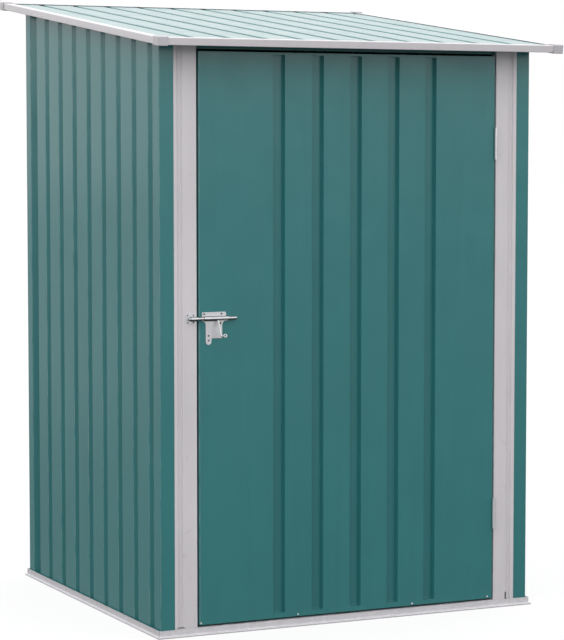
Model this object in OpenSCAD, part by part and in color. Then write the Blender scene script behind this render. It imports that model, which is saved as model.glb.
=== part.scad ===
// Small metal tool shed with a single-slope roof and one outward-opening door.
// Origin: on the ground, at the centre of the footprint.
// +X is to the right of someone facing the door, +Y is to the back, +Z is up.
// Lengths are in millimetres and angles in degrees.

/* [Shed] */
// Outside width of the walls
wall_w = 1035; // [860:5:1400]
// Outside depth of the walls
wall_d = 955; // [780:5:1400]
// Height of the highest edge of the roof, at the back
back_h = 1600; // [1530:5:2000]
// Height of the lowest top edge of the roof, at the front
front_h = 1457; // [1200:5:1480]
// How far the roof runs past the side walls
overhang_side = 43; // [30:1:80]
// How far the roof runs past the front and back walls
overhang_end = 94.5; // [50:0.5:140]

/* [Sheets] */
// Thickness of the wall, roof and door sheets
sheet_t = 1.2; // [0.8:0.1:2]
// Thickness of the rails, posts and beams
frame_t = 1.5; // [1:0.1:3]
// Gap left between pieces that are screwed together
seat_gap = 0.3; // [0.1:0.1:0.5]

/* [Wall grooves] */
// Distance between the grooves of the wall sheets
groove_pitch = 104.2; // [80:0.1:130]
// Width of a groove at the face of the sheet
groove_w = 30; // [20:1:40]
// Depth of a groove
groove_depth = 11; // [5:1:15]
// Width of a groove's sloping side
groove_side = 6; // [2:1:10]
// Width of the deep groove beside the back corner
corner_groove_w = 52; // [40:1:60]
// Depth of the deep groove beside the back corner
corner_groove_depth = 20; // [8:1:24]
// Width of the flat strip at the back corner
corner_flat = 35; // [30:1:60]

/* [Base rail] */
// Height of the base rail
rail_h = 19.5; // [15:0.5:30]
// Height of the rail's lower, wider step
rail_step_h = 5; // [4:0.5:12]
// How far the rail's upright lip stands out from the wall
rail_lip_out = 6; // [4:0.5:12]
// How far the rail's lower step stands out from the wall
rail_step_out = 11; // [8:0.5:20]
// How far the rail's flat bottom runs inwards from the wall
rail_in = 28; // [26:1:40]

/* [Doorway] */
// Width of the green strip beside each door post
strip_w = 37.5; // [25:0.5:60]
// Width of a white door post
post_w = 60.3; // [50:0.1:80]
// Depth of a door post
post_depth = 26; // [24:1:40]
// Depth of the shallow channel down a door post
post_channel_depth = 5; // [2:0.5:8]
// Height of the lintel rail over the door
lintel_h = 22; // [15:1:40]

/* [Door] */
// Gap round the door
door_gap = 5; // [5:0.5:8]
// Gap between the door's top edge and the roof's lowest edge, which it passes under
door_roof_gap = 5.8; // [5:0.1:100]
// Depth of the door's folded edges
door_depth = 20; // [15:1:24]
// Number of grooves pressed into the door
door_grooves = 5; // [3:1:6]
// Distance between the door's grooves
door_groove_pitch = 106.4; // [60:0.1:120]
// Width of a door groove at the door's face
door_groove_w = 32; // [20:1:40]
// Depth of a door groove
door_groove_depth = 13; // [3:0.5:13]
// Width of a door groove's sloping side
door_groove_side = 3; // [1:0.5:9]
// How far the grooves sit to the hinge side of the door's middle
door_groove_shift = 15; // [0:1:25]
// Distance from the door's bottom edge to the grooves
door_groove_low = 12; // [8:1:30]
// Distance from the door's top edge to the grooves
door_groove_high = 6; // [4:1:30]
// Distance along the door between its top or bottom edge and the nearest brace
brace_margin = 16; // [10:1:60]

/* [Hinges] */
// Length of a hinge's knuckle
hinge_len = 82; // [60:1:120]
// Radius of a hinge's knuckle
hinge_r = 4; // [3.5:0.1:5]
// Radius of a hinge's pin
pin_r = 2.2; // [1.5:0.1:2.7]
// Gap between a hinge's pin and the knuckle that turns on it
pin_gap = 0.06; // [0.03:0.01:0.1]
// Distance between a hinge and the door's nearer end
hinge_margin = 182; // [60:1:400]

/* [Bolt] */
// Height of the bolt's centre line above the ground
bolt_z = 780; // [600:1:1000]
// Radius of the bolt's rod
rod_r = 4; // [3:0.1:5]
// Length of the bolt's rod
rod_len = 127; // [120:1:160]
// How far the rod slides back, which brings its tip to the door's edge
bolt_travel = 29; // [25:1:45]
// Gap between the rod and what guides it
rod_gap = 0.3; // [0.2:0.05:0.5]
// Thickness of the metal round the rod
barrel_wall = 1.8; // [1.2:0.1:2.5]
// Length of the rod's barrel
barrel_w = 65; // [50:1:90]
// Width of the plate's flange above the rod
plate_w = 64; // [50:1:90]

/* [Roof] */
// Number of grooves across the roof
roof_grooves = 10; // [6:1:12]
// Distance between the roof's grooves
roof_groove_pitch = 98.5; // [70:0.5:105]
// How far the roof's grooves sit to the left of its middle
roof_groove_shift = 8; // [0:1:20]
// Width of a roof groove at the top of the sheet
roof_groove_w = 22; // [18:1:35]
// Depth of a roof groove
roof_groove_depth = 13.5; // [4:0.5:14]
// Width of a roof groove's sloping side
roof_groove_side = 4; // [1:0.5:6]
// Width of the trims' flanges
trim_flange = 22; // [15:1:30]
// How far the trims stand above the roof sheets
trim_rise = 2; // [2:0.5:12]
// Side length of a corner cap
cap_size = 28; // [26:1:40]
// Wall thickness of a corner cap
cap_wall = 2; // [1.5:0.1:3]

/* [Hidden] */
$fn = 48;

green = [0.22, 0.45, 0.46];
white = [0.78, 0.77, 0.78];
grey = [0.70, 0.71, 0.73];
zinc = [0.75, 0.75, 0.78];

// How far a cut runs past what it cuts
over = 1;

// Faces of the walls
left_x = -wall_w / 2;
right_x = wall_w / 2;
front_y = -wall_d / 2;
back_y = wall_d / 2;

// Roof plane: the underside of the roof sheets' grooves
roof_w = wall_w + 2 * overhang_side;
roof_run = wall_d + 2 * overhang_end;
roof_pitch = atan((back_h - front_h) / roof_run);
roof_len = roof_run / cos(roof_pitch);
trim_top = roof_groove_depth + sheet_t + trim_rise;
trim_low = -seat_gap - sheet_t;
cap_top = trim_top + seat_gap + cap_wall;
cap_low = trim_low - seat_gap - cap_wall;
roof_z0 = front_h - cap_top * cos(roof_pitch);
function roof_z(y) = roof_z0 + (y + roof_run / 2) * tan(roof_pitch);
// Distance up the slope to the point above y
function slope_at(y) = (y + roof_run / 2) / cos(roof_pitch);
// Height of the roof's lowest edge: the front edge of the corner caps
roof_low = roof_z0 + cap_low * cos(roof_pitch);

// Inner faces: what stands behind the grooves of a wall
behind_grooves = groove_depth + sheet_t + seat_gap;
floor_z = frame_t + seat_gap;
wall_drop = frame_t + 2 * seat_gap;
// Ends of the frame pieces that run along a side wall
frame_clear = 6;
frame_front = front_y + post_depth + frame_clear;
frame_back = back_y - corner_flat - corner_groove_w - frame_clear;

// Doorway and door
opening_w = wall_w - 2 * (strip_w + post_w);
opening_left = -opening_w / 2;
opening_right = opening_w / 2;
door_left = opening_left + door_gap;
door_right = opening_right - door_gap;
door_w = door_right - door_left;
door_bottom = rail_h + door_gap;
door_top = roof_low - door_roof_gap;
door_h = door_top - door_bottom;

// Hinges: the pin stands in front of the faces, and the leaves lie in the door's gap
knuckle_stand = 0.5;
hinge_x = opening_right - door_gap / 2;
hinge_y = front_y - knuckle_stand - hinge_r;
hinge_low_z = door_bottom + hinge_margin;
hinge_high_z = door_top - hinge_margin - hinge_len;
leaf_t = 1.5;
leaf_x = door_gap / 2 - seat_gap;
leaf_front = hinge_r + knuckle_stand + 0.4;
leaf_back = hinge_r + knuckle_stand + door_depth - 1.6;
knuckle_gap = 0.4;
knuckle_len = (hinge_len - 2 * knuckle_gap) / 3;

// Bolt
barrel_r = rod_r + rod_gap + barrel_wall;
plate_y = front_y - seat_gap;
plate_left = door_left + 8;
barrel_x = plate_left + 3;
rod_y = plate_y - frame_t - rod_gap - rod_r;
rod_left = door_left - bolt_travel;
keeper_left = rod_left - 5;
keeper_w = opening_left - 1.5 - keeper_left;
handle_r = 2.2;
handle_x = plate_left + 40;
handle_lean = 28;
handle_len = 45;

// Sheet-metal outlines ------------------------------------------------------

function unit(v) = v / norm(v);
function left_of(v) = [-v[1], v[0]];
function reversed(list) = [for (i = [len(list) - 1:-1:0]) list[i]];

// An open line moved t to its left, with mitred corners
function shifted(line, t) = [
    for (i = [0:len(line) - 1])
        let (
            to = i > 0 ? unit(line[i] - line[i - 1]) : unit(line[1] - line[0]),
            from = i < len(line) - 1 ? unit(line[i + 1] - line[i]) : to
        )
        line[i] + (left_of(to) + left_of(from)) * t / (1 + to * from)
];

// A folded strip of metal: its outer line, with the metal to the line's left
module folded(line, t) {
    polygon(concat(line, reversed(shifted(line, t))));
}

// Points of one trapezoid step, from a line at height 0 to height h
function step_points(centre, w, h, side) = [
    [centre - w / 2, 0],
    [centre - w / 2 + side, h],
    [centre + w / 2 - side, h],
    [centre + w / 2, 0]
];

// Points of a row of equal steps
function row_points(centres, w, h, side) = [
    for (c = centres) each step_points(c, w, h, side)
];

// Positions of n equal steps about a middle
function spread(n, pitch, middle = 0) = [
    for (i = [0:n - 1]) middle + (i - (n - 1) / 2) * pitch
];

// Extrusions and cuts -------------------------------------------------------

// A (Y, Z) outline made into a bar from x0 to x1
module bar_x(x0, x1) {
    translate([x0, 0, 0]) rotate([90, 0, 90]) linear_extrude(x1 - x0) children();
}

// An (X, Z) outline made into a bar from y0 to y1
module bar_y(y0, y1) {
    translate([0, y1, 0]) rotate([90, 0, 0]) linear_extrude(y1 - y0) children();
}

// An (X, Y) outline made into a column from z0 up to a gap under the roof
module column(z0, gap) {
    reach = roof_run / 2;
    intersection() {
        translate([0, 0, z0]) linear_extrude(back_h) children();
        bar_x(-roof_w, roof_w) polygon([
            [-reach, 0], [reach, 0],
            [reach, roof_z(reach) - gap], [-reach, roof_z(-reach) - gap]
        ]);
    }
}

// Places pieces on the roof plane: X across, Y up the slope, Z square to it
module on_roof() {
    translate([0, -roof_run / 2, roof_z0]) rotate([roof_pitch, 0, 0]) children();
}

// The right-hand twin of a left-hand piece
module mirrored() {
    mirror([1, 0, 0]) children();
}

// Base ----------------------------------------------------------------------

// Section of a base rail: distance inwards from the wall's face, and height
rail_line = [
    [-rail_lip_out, rail_h],
    [-rail_lip_out, rail_step_h],
    [-rail_step_out, rail_step_h],
    [-rail_step_out, 0],
    [rail_in, 0],
    [rail_in, rail_step_h]
];

// A base rail along the front wall's face, mitred at both ends
module base_rail(length, depth) {
    outer = length / 2 + rail_step_out;
    inner = length / 2 - rail_in;
    intersection() {
        bar_x(-outer, outer) translate([-depth / 2, 0]) folded(rail_line, frame_t);
        translate([0, -depth / 2, -over]) linear_extrude(rail_h + 2 * over) polygon([
            [-outer + seat_gap, -rail_step_out],
            [outer - seat_gap, -rail_step_out],
            [inner - seat_gap, rail_in],
            [-inner + seat_gap, rail_in]
        ]);
    }
}

module base_rail_front() { color(grey) base_rail(wall_w, wall_d); }
module base_rail_back() { color(grey) rotate(180) base_rail(wall_w, wall_d); }
module base_rail_left() { color(grey) rotate(-90) base_rail(wall_d, wall_w); }
module base_rail_right() { color(grey) rotate(90) base_rail(wall_d, wall_w); }

// Walls ---------------------------------------------------------------------

// Grooves of a side wall, measured back from the front wall's face. At least side_flat
// is left between the last of them and the deep groove.
side_first = 56.5;
side_flat = 20;
side_last = wall_d - corner_flat - corner_groove_w - side_flat - groove_w / 2;
side_count = floor((side_last - side_first) / groove_pitch) + 1;
side_grooves = [for (i = [0:side_count - 1]) side_first + i * groove_pitch];
corner_groove = wall_d - corner_flat - corner_groove_w / 2;
corner_groove_side = 10;

// One side wall: a grooved sheet that turns the front corner
module side_wall() {
    along = concat(
        row_points(side_grooves, groove_w, groove_depth, groove_side),
        step_points(corner_groove, corner_groove_w, corner_groove_depth, corner_groove_side)
    );
    line = concat(
        [[left_x, back_y]],
        reversed([for (p = along) [left_x + p[1], front_y + p[0]]]),
        [[left_x, front_y], [left_x + strip_w, front_y]]
    );
    color(green) column(floor_z, wall_drop) folded(line, sheet_t);
}

module left_wall() { side_wall(); }
module right_wall() { mirrored() side_wall(); }

back_count = floor((wall_w - 2 * corner_flat - groove_w) / groove_pitch) + 1;

module back_wall() {
    edge = wall_w / 2 - sheet_t - seat_gap;
    along = row_points(spread(back_count, groove_pitch), groove_w, groove_depth, groove_side);
    line = concat(
        [[edge, back_y]],
        reversed([for (p = along) [p[0], back_y - p[1]]]),
        [[-edge, back_y]]
    );
    color(green) column(floor_z, wall_drop) folded(line, sheet_t);
}

// Angle post inside a back corner
module back_post() {
    in = sheet_t + seat_gap;
    leg = 25;
    color(grey) column(floor_z, wall_drop) folded([
        [left_x + in + leg, back_y - in],
        [left_x + in, back_y - in],
        [left_x + in, back_y - in - leg]
    ], frame_t);
}

module back_post_left() { back_post(); }
module back_post_right() { mirrored() back_post(); }

// Doorway -------------------------------------------------------------------

// A white door post: its tongue goes behind the green strip
module door_post() {
    outer = left_x + strip_w + seat_gap;
    inner = opening_left;
    tongue = 20;
    behind = sheet_t + seat_gap;
    flange = 9;
    channel = 14;
    slope = 2;
    lip = 20;
    color(white) column(floor_z, seat_gap) translate([0, front_y]) folded([
        [outer - tongue, behind],
        [outer, behind],
        [outer, 0],
        [outer + flange, 0],
        [outer + flange + slope, post_channel_depth],
        [outer + flange + channel - slope, post_channel_depth],
        [outer + flange + channel, 0],
        [inner, 0],
        [inner, post_depth],
        [inner - lip, post_depth]
    ], sheet_t);
}

module door_post_left() { door_post(); }
module door_post_right() { mirrored() door_post(); }

// Rail over the door, set back from the faces of the posts
module lintel() {
    set_back = 12;
    fold = 14;
    low = door_top + door_gap + seat_gap;
    y = front_y + set_back;
    color(green) bar_x(opening_left + seat_gap, opening_right - seat_gap) polygon([
        [y, low],
        [y + fold, low],
        [y + fold, low + frame_t],
        [y + frame_t, low + frame_t],
        [y + frame_t, roof_z(y + frame_t) - seat_gap],
        [y, roof_z(y) - seat_gap]
    ]);
}

// Sill between the door posts: a channel that stands upside down in the front rail, with its
// flat top level with the rail's lip
module sill() {
    front = -rail_lip_out + frame_t + seat_gap;
    back = door_depth + 2;
    color(grey) bar_x(opening_left + seat_gap, opening_right - seat_gap)
        translate([front_y, 0]) folded([
            [back, floor_z],
            [back, rail_h],
            [front, rail_h],
            [front, floor_z]
        ], sheet_t);
}

// Frame under the roof ------------------------------------------------------

// Angle along the top of a side wall
module top_rail_side() {
    leg = 26;
    inner = left_x + behind_grooves + frame_t;
    color(grey) on_roof() bar_y(slope_at(frame_front), slope_at(frame_back)) folded([
        [inner, -leg],
        [inner, -seat_gap],
        [left_x, -seat_gap]
    ], frame_t);
}

module top_rail_left() { top_rail_side(); }
module top_rail_right() { mirrored() top_rail_side(); }

// Angle along the top of the back wall
module top_rail_back() {
    leg = 26;
    edge = wall_w / 2 - corner_flat;
    outer = back_y - behind_grooves;
    inner = outer - frame_t;
    low = roof_z(outer) - leg;
    top = function (y) roof_z(y) - seat_gap;
    color(grey) bar_x(-edge, edge) polygon([
        [outer, low],
        [outer, top(outer) - frame_t],
        [back_y, top(back_y) - frame_t],
        [back_y, top(back_y)],
        [inner, top(inner)],
        [inner, low]
    ]);
}

// Channel across the middle of the roof, between the side rails
module roof_beam() {
    flange = 20;
    web = 28;
    edge = wall_w / 2 - behind_grooves - frame_t - seat_gap;
    middle = slope_at(0);
    color(grey) on_roof() bar_x(-edge, edge) folded([
        [middle + flange / 2, -seat_gap],
        [middle - flange / 2, -seat_gap],
        [middle - flange / 2, -web],
        [middle + flange / 2, -web]
    ], frame_t);
}

// Braces half-way up the walls ----------------------------------------------

brace_z = 760;
brace_h = 40;
brace_flange = 16;

// Channel section of a brace: distance in from the wall's face, and height
brace_line = [
    [behind_grooves + brace_flange, brace_z + brace_h],
    [behind_grooves, brace_z + brace_h],
    [behind_grooves, brace_z],
    [behind_grooves + brace_flange, brace_z]
];

module side_brace() {
    color(grey) bar_y(frame_front, frame_back) translate([left_x, 0]) folded(brace_line, frame_t);
}

module side_brace_left() { side_brace(); }
module side_brace_right() { mirrored() side_brace(); }

module back_brace() {
    edge = wall_w / 2 - corner_flat;
    color(grey) rotate(180) bar_x(-edge, edge) translate([-back_y, 0]) folded(brace_line, frame_t);
}

// Roof ----------------------------------------------------------------------

roof_edge = roof_w / 2 - cap_wall - 2 * seat_gap - sheet_t;
roof_sheet_start = cap_wall + 2 * seat_gap + sheet_t;
roof_sheet_end = roof_len - roof_sheet_start;
roof_groove_xs = spread(roof_grooves, roof_groove_pitch, -roof_groove_shift);

// The two sheets meet in this groove, where the right sheet lies on the left one
seam = roof_groove_xs[floor(roof_grooves / 2)];
seam_lift = sheet_t + seat_gap;
seam_inset = roof_groove_side + 2;

// Points of a row of roof grooves, which go down to the roof plane
function roof_points(centres) = [
    for (p = row_points(centres, roof_groove_w, roof_groove_depth, roof_groove_side))
        [p[0], roof_groove_depth - p[1]]
];

module roof_sheet(line) {
    color(green) on_roof() bar_y(roof_sheet_start, roof_sheet_end) folded(line, sheet_t);
}

// Left roof sheet: its outer edge turns down, and it ends at the bottom of the seam
module roof_sheet_left() {
    outer = -roof_edge + sheet_t;
    left = seam - roof_groove_w / 2;
    roof_sheet(concat(
        [[outer, 0], [outer, roof_groove_depth]],
        roof_points([for (x = roof_groove_xs) if (x < seam) x]),
        [
            [left, roof_groove_depth],
            [left + roof_groove_side, 0],
            [left + roof_groove_w - seam_inset, 0]
        ]
    ));
}

// Right roof sheet: it starts on the left one at the bottom of the seam
module roof_sheet_right() {
    outer = roof_edge - sheet_t;
    right = seam + roof_groove_w / 2;
    foot = roof_groove_side * (1 - seam_lift / roof_groove_depth);
    roof_sheet(concat(
        [
            [right - roof_groove_w + seam_inset, seam_lift],
            [right - foot, seam_lift],
            [right, roof_groove_depth]
        ],
        roof_points([for (x = roof_groove_xs) if (x > seam) x]),
        [[outer, roof_groove_depth], [outer, 0]]
    ));
}

// Channel section of a roof trim: distance in from the roof's edge, and height
trim_in = cap_wall + seat_gap;
trim_line = [
    [trim_in + trim_flange, trim_top],
    [trim_in, trim_top],
    [trim_in, trim_low],
    [trim_in + trim_flange, trim_low]
];

module end_trim() {
    edge = roof_w / 2 - trim_in;
    bar_x(-edge, edge) folded(trim_line, sheet_t);
}

module side_trim() {
    start = trim_in + trim_flange + seat_gap;
    bar_y(start, roof_len - start) translate([-roof_w / 2, 0]) folded(trim_line, sheet_t);
}

module turned_roof() {
    translate([0, roof_len, 0]) mirror([0, 1, 0]) children();
}

module trim_front() { color(white) on_roof() end_trim(); }
module trim_back() { color(white) on_roof() turned_roof() end_trim(); }
module trim_left() { color(white) on_roof() side_trim(); }
module trim_right() { color(white) on_roof() mirrored() side_trim(); }

// Corner cap: a box that is open to the roof's inside
module corner_cap() {
    h = cap_top - cap_low;
    translate([-roof_w / 2, 0, cap_low]) difference() {
        cube([cap_size, cap_size, h]);
        translate([cap_wall, cap_wall, cap_wall]) cube([cap_size, cap_size, h - 2 * cap_wall]);
    }
}

module cap_front_left() { color(white) on_roof() corner_cap(); }
module cap_front_right() { color(white) on_roof() mirrored() corner_cap(); }
module cap_back_left() { color(white) on_roof() turned_roof() corner_cap(); }
module cap_back_right() { color(white) on_roof() turned_roof() mirrored() corner_cap(); }

// Door ----------------------------------------------------------------------

door_groove_z0 = door_bottom + door_groove_low;
door_groove_z1 = door_top - door_groove_high;
door_groove_end = 1;
door_groove_xs = spread(door_grooves, door_groove_pitch, door_groove_shift);

// Half-width of a groove's form at a depth y, grown all round by t
function groove_half(w, side, t, y) =
    w / 2 + (t * norm([side, door_groove_depth]) - side * y) / door_groove_depth;

// A groove's form from a depth y0 to its bottom, grown all round by t
module door_groove_form(x, t, y0) {
    y1 = door_groove_depth + t;
    middle = (door_groove_z0 + door_groove_z1) / 2;
    wide = function (y) groove_half(door_groove_w, door_groove_side, t, y);
    tall = function (y) groove_half(door_groove_z1 - door_groove_z0, door_groove_end, t, y);
    intersection() {
        translate([x, 0, door_bottom]) linear_extrude(door_h) polygon([
            [-wide(y0), y0],
            [wide(y0), y0],
            [wide(y1), y1],
            [-wide(y1), y1]
        ]);
        translate([0, 0, middle]) bar_x(x - door_groove_w, x + door_groove_w) polygon([
            [y0, -tall(y0)],
            [y1, -tall(y1)],
            [y1, tall(y1)],
            [y0, tall(y0)]
        ]);
    }
}

// Door sheet: pressed grooves, and edges folded back into lips
module door_skin() {
    lip = 14;
    color(green) translate([0, front_y, 0]) difference() {
        union() {
            difference() {
                translate([door_left, 0, door_bottom]) cube([door_w, door_depth, door_h]);
                translate([door_left + sheet_t, sheet_t, door_bottom + sheet_t])
                    cube([door_w - 2 * sheet_t, door_depth - 2 * sheet_t, door_h - 2 * sheet_t]);
                translate([door_left + lip, 2 * sheet_t, door_bottom + lip])
                    cube([door_w - 2 * lip, door_depth, door_h - 2 * lip]);
            }
            for (x = door_groove_xs) door_groove_form(x, sheet_t, sheet_t / 2);
        }
        for (x = door_groove_xs) door_groove_form(x, 0, -over);
    }
}

// Channel across the door behind the grooves, with its lower edge at z
module door_brace(z) {
    gap = sheet_t + seat_gap;
    deep = door_depth - door_groove_depth - 2 * gap;
    edge = door_w / 2 - gap;
    color(grey) translate([0, front_y + door_groove_depth + gap, z]) bar_x(-edge, edge) folded([
        [deep, brace_h],
        [0, brace_h],
        [0, 0],
        [deep, 0]
    ], frame_t);
}

module door_brace_top() { door_brace(door_top - brace_margin - brace_h); }
module door_brace_middle() { door_brace((door_top + door_bottom - brace_h) / 2); }
module door_brace_bottom() { door_brace(door_bottom + brace_margin); }

// Hinges --------------------------------------------------------------------

// A hinge's leaf, cut back between the knuckles that start at the heights in ends
module hinge_half(x, ends) {
    for (z = ends)
        translate([0, 0, z]) {
            cylinder(r = hinge_r, h = knuckle_len);
            translate([x, 0, 0]) cube([leaf_t, leaf_back, knuckle_len]);
        }
    translate([x, leaf_front, 0]) cube([leaf_t, leaf_back - leaf_front, hinge_len]);
}

// Fixed half: leaf on the post, outer knuckles and the pin
module hinge_fixed(z) {
    color(zinc) translate([hinge_x, hinge_y, z]) {
        cylinder(r = pin_r, h = hinge_len);
        hinge_half(leaf_x - leaf_t, [0, hinge_len - knuckle_len]);
    }
}

// Moving half: leaf on the door's edge and the middle knuckle
module hinge_moving(z) {
    color(zinc) translate([hinge_x, hinge_y, z]) difference() {
        hinge_half(-leaf_x, [knuckle_len + knuckle_gap]);
        cylinder(r = pin_r + pin_gap, h = hinge_len);
    }
}

module hinge_upper_fixed() { hinge_fixed(hinge_high_z); }
module hinge_lower_fixed() { hinge_fixed(hinge_low_z); }
module hinge_upper_moving() { hinge_moving(hinge_high_z); }
module hinge_lower_moving() { hinge_moving(hinge_low_z); }

// Bolt ----------------------------------------------------------------------

// A plate's (X, Z) outline made into a sheet that lies on the door or post
module on_face(t) {
    translate([0, plate_y, 0]) rotate([90, 0, 0]) linear_extrude(t) children();
}

// Guide for the rod: a round back on a plate, with its bore
module rod_guide(x, w) {
    translate([x, rod_y, bolt_z]) rotate([0, 90, 0]) cylinder(r = barrel_r, h = w);
    translate([x, rod_y, bolt_z - barrel_r]) cube([w, plate_y - rod_y, 2 * barrel_r]);
}

module rod_bore(x, w) {
    translate([x - over, rod_y, bolt_z]) rotate([0, 90, 0])
        cylinder(r = rod_r + rod_gap, h = w + 2 * over);
}

// Keeper on the door post
module bolt_keeper() {
    flange = 12;
    color(zinc) difference() {
        union() {
            on_face(frame_t) translate([keeper_left, bolt_z - flange]) square([keeper_w, 2 * flange]);
            rod_guide(keeper_left, keeper_w);
        }
        rod_bore(keeper_left, keeper_w);
    }
}

// Back plate on the door, with the rod's barrel and a slot for the handle
module bolt_plate() {
    top = 15.5;
    low = 6;
    tab_low = 49;
    tab_left = 10;
    tab_w = 44;
    tongue_w = 15;
    tongue_low = 57;
    round_r = 10;
    slot_gap = 1;
    slot_x = handle_x - handle_r - slot_gap;
    slot_h = 2 * (handle_r + slot_gap);
    color(zinc) difference() {
        union() {
            on_face(frame_t) translate([plate_left, bolt_z]) {
                translate([0, -low]) square([plate_w, low + top]);
                translate([0, -low]) square([barrel_x + barrel_w - plate_left, 2 * low]);
                translate([tab_left, -tab_low]) square([tab_w, tab_low]);
                translate([tab_left - round_r, -low - round_r])
                    difference() {
                        square([tab_w + 2 * round_r, round_r]);
                        circle(r = round_r);
                        translate([tab_w + 2 * round_r, 0]) circle(r = round_r);
                    }
                translate([tab_left, -tongue_low]) square([tongue_w, tongue_low]);
                translate([tab_left + tongue_w / 2, -tongue_low]) circle(d = tongue_w);
            }
            rod_guide(barrel_x, barrel_w);
        }
        rod_bore(barrel_x, barrel_w);
        translate([slot_x, rod_y, bolt_z]) rotate([-handle_lean, 0, 0])
            translate([0, -slot_h / 2, -3 * rod_r]) cube([barrel_w, slot_h, 3 * rod_r]);
    }
}

// Round rod with a bevelled tip
module bolt_rod() {
    bevel = 1.5;
    color(zinc) translate([rod_left, rod_y, bolt_z]) rotate([0, 90, 0]) {
        cylinder(r1 = rod_r - bevel, r2 = rod_r, h = bevel);
        translate([0, 0, bevel]) cylinder(r = rod_r, h = rod_len - bevel);
    }
}

// Handle: a pin that leans out from the rod's surface and ends in a knuckle with an eye
module bolt_handle() {
    knuckle_r = 3.2;
    eye_r = 3.8;
    wire_r = 1.5;
    shank = handle_len - rod_r - 0.05;
    color(zinc) translate([handle_x, rod_y, bolt_z]) rotate([-handle_lean, 0, 0]) {
        translate([0, 0, -handle_len]) cylinder(r = handle_r, h = shank);
        translate([0, 0, -handle_len]) sphere(r = knuckle_r);
        translate([0, 0, -handle_len]) rotate([0, 90, 0]) cylinder(r = wire_r, h = 2 * knuckle_r);
        translate([2 * knuckle_r + eye_r, 0, -handle_len]) rotate([90, 0, 0])
            rotate_extrude() translate([eye_r, 0]) circle(r = wire_r);
    }
}

base_rail_front();
base_rail_back();
base_rail_left();
base_rail_right();
left_wall();
right_wall();
back_wall();
back_post_left();
back_post_right();
door_post_left();
door_post_right();
lintel();
sill();
top_rail_left();
top_rail_right();
top_rail_back();
roof_beam();
side_brace_left();
side_brace_right();
back_brace();
roof_sheet_left();
roof_sheet_right();
trim_front();
trim_back();
trim_left();
trim_right();
cap_front_left();
cap_front_right();
cap_back_left();
cap_back_right();
hinge_upper_fixed();
hinge_lower_fixed();
bolt_keeper();
door_skin();
door_brace_top();
door_brace_middle();
door_brace_bottom();
hinge_upper_moving();
hinge_lower_moving();
bolt_plate();
bolt_rod();
bolt_handle();
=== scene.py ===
"""Looks of a small metal tool shed with a sloping roof and one door.

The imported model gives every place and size. Lengths are in metres unless a name ends in mm.
"""
from __future__ import annotations

import logging
import math
from collections.abc import Sequence
from dataclasses import dataclass, field
from enum import Enum
from typing import Any, ClassVar

import bmesh
import bpy
from bmesh.types import BMEdge, BMesh, BMFace, BMVert
from bpy.types import Material, Mesh, Node, NodeSocket, NodeTree, Object
from mathutils import Euler, Matrix, Vector


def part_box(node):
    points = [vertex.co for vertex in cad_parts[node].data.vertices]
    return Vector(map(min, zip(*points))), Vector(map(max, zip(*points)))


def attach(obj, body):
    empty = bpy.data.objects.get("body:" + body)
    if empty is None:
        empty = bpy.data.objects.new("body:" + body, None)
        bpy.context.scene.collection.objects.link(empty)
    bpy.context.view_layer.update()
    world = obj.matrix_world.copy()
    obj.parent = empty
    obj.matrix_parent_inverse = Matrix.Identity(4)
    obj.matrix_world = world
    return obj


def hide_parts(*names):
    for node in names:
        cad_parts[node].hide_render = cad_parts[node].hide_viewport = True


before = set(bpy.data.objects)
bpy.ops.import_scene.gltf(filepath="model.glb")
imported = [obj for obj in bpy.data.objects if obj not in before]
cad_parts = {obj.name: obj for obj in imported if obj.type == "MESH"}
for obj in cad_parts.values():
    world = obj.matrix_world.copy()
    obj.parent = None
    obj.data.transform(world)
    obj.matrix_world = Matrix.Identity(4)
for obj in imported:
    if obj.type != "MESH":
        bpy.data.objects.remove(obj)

log = logging.getLogger("tool_shed")

MM = 0.001
SHEET = 1.2 * MM
# Angles in degrees.
FULL_TURN = 360.0
QUARTER = 90.0
# Vertices nearer than this are one, and flat neighbours within this angle are one face.
SAME_POINT = 0.002 * MM
SAME_PLANE = math.radians(0.5)
# A fold turns by more than this, and a vertex this near a side of the box lies on that side.
FOLD_TURN = math.radians(8.0)
ON_SIDE = 0.1 * MM
# Blender's noise seldom leaves these values.
NOISE_LOW, NOISE_HIGH = 0.3, 0.7

Point = tuple[float, float]
Place = tuple[float, float, float]


class Body(Enum):
    """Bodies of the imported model."""

    SHED = "shed"
    DOOR = "door"
    BOLT = "bolt"


class Slot(Enum):
    """Material slots of the record."""

    GREEN = "green_sheet"
    WHITE = "white_sheet"
    RAIL = "galvanised_rail"
    ZINC = "zinc"
    PLASTIC = "grey_plastic"
    ROD = "bright_rod"


# Nodes and colours ----------------------------------------


def linear(code: str) -> tuple[float, float, float, float]:
    """Turns an sRGB hex colour into linear values, by the standard sRGB curve.

    Args:
        code: Colour such as "#c8c4c9".

    Returns:
        Red, green, blue and an alpha of 1.
    """
    parts = [int(code[i:i + 2], 16) / 255 for i in (1, 3, 5)]
    return (*[p / 12.92 if p <= 0.04045 else ((p + 0.055) / 1.055) ** 2.4 for p in parts], 1.0)


def add(tree: NodeTree, kind: str, settings: dict[str, Any] | None = None,
        sockets: dict[str | int, Any] | None = None) -> Node:
    """Adds a node with its settings, values and links.

    Args:
        tree: Tree that gets the node.
        kind: Blender's name for the kind of node.
        settings: Values of the node's own properties.
        sockets: For an input's name or number, a value or the output that feeds it.

    Returns:
        The new node.
    """
    node = tree.nodes.new(kind)
    for key, value in (settings or {}).items():
        setattr(node, key, value)
    for key, value in (sockets or {}).items():
        if isinstance(value, NodeSocket):
            tree.links.new(value, node.inputs[key])
        else:
            node.inputs[key].default_value = value
    return node


# Finishes -------------------------------------------------


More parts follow.
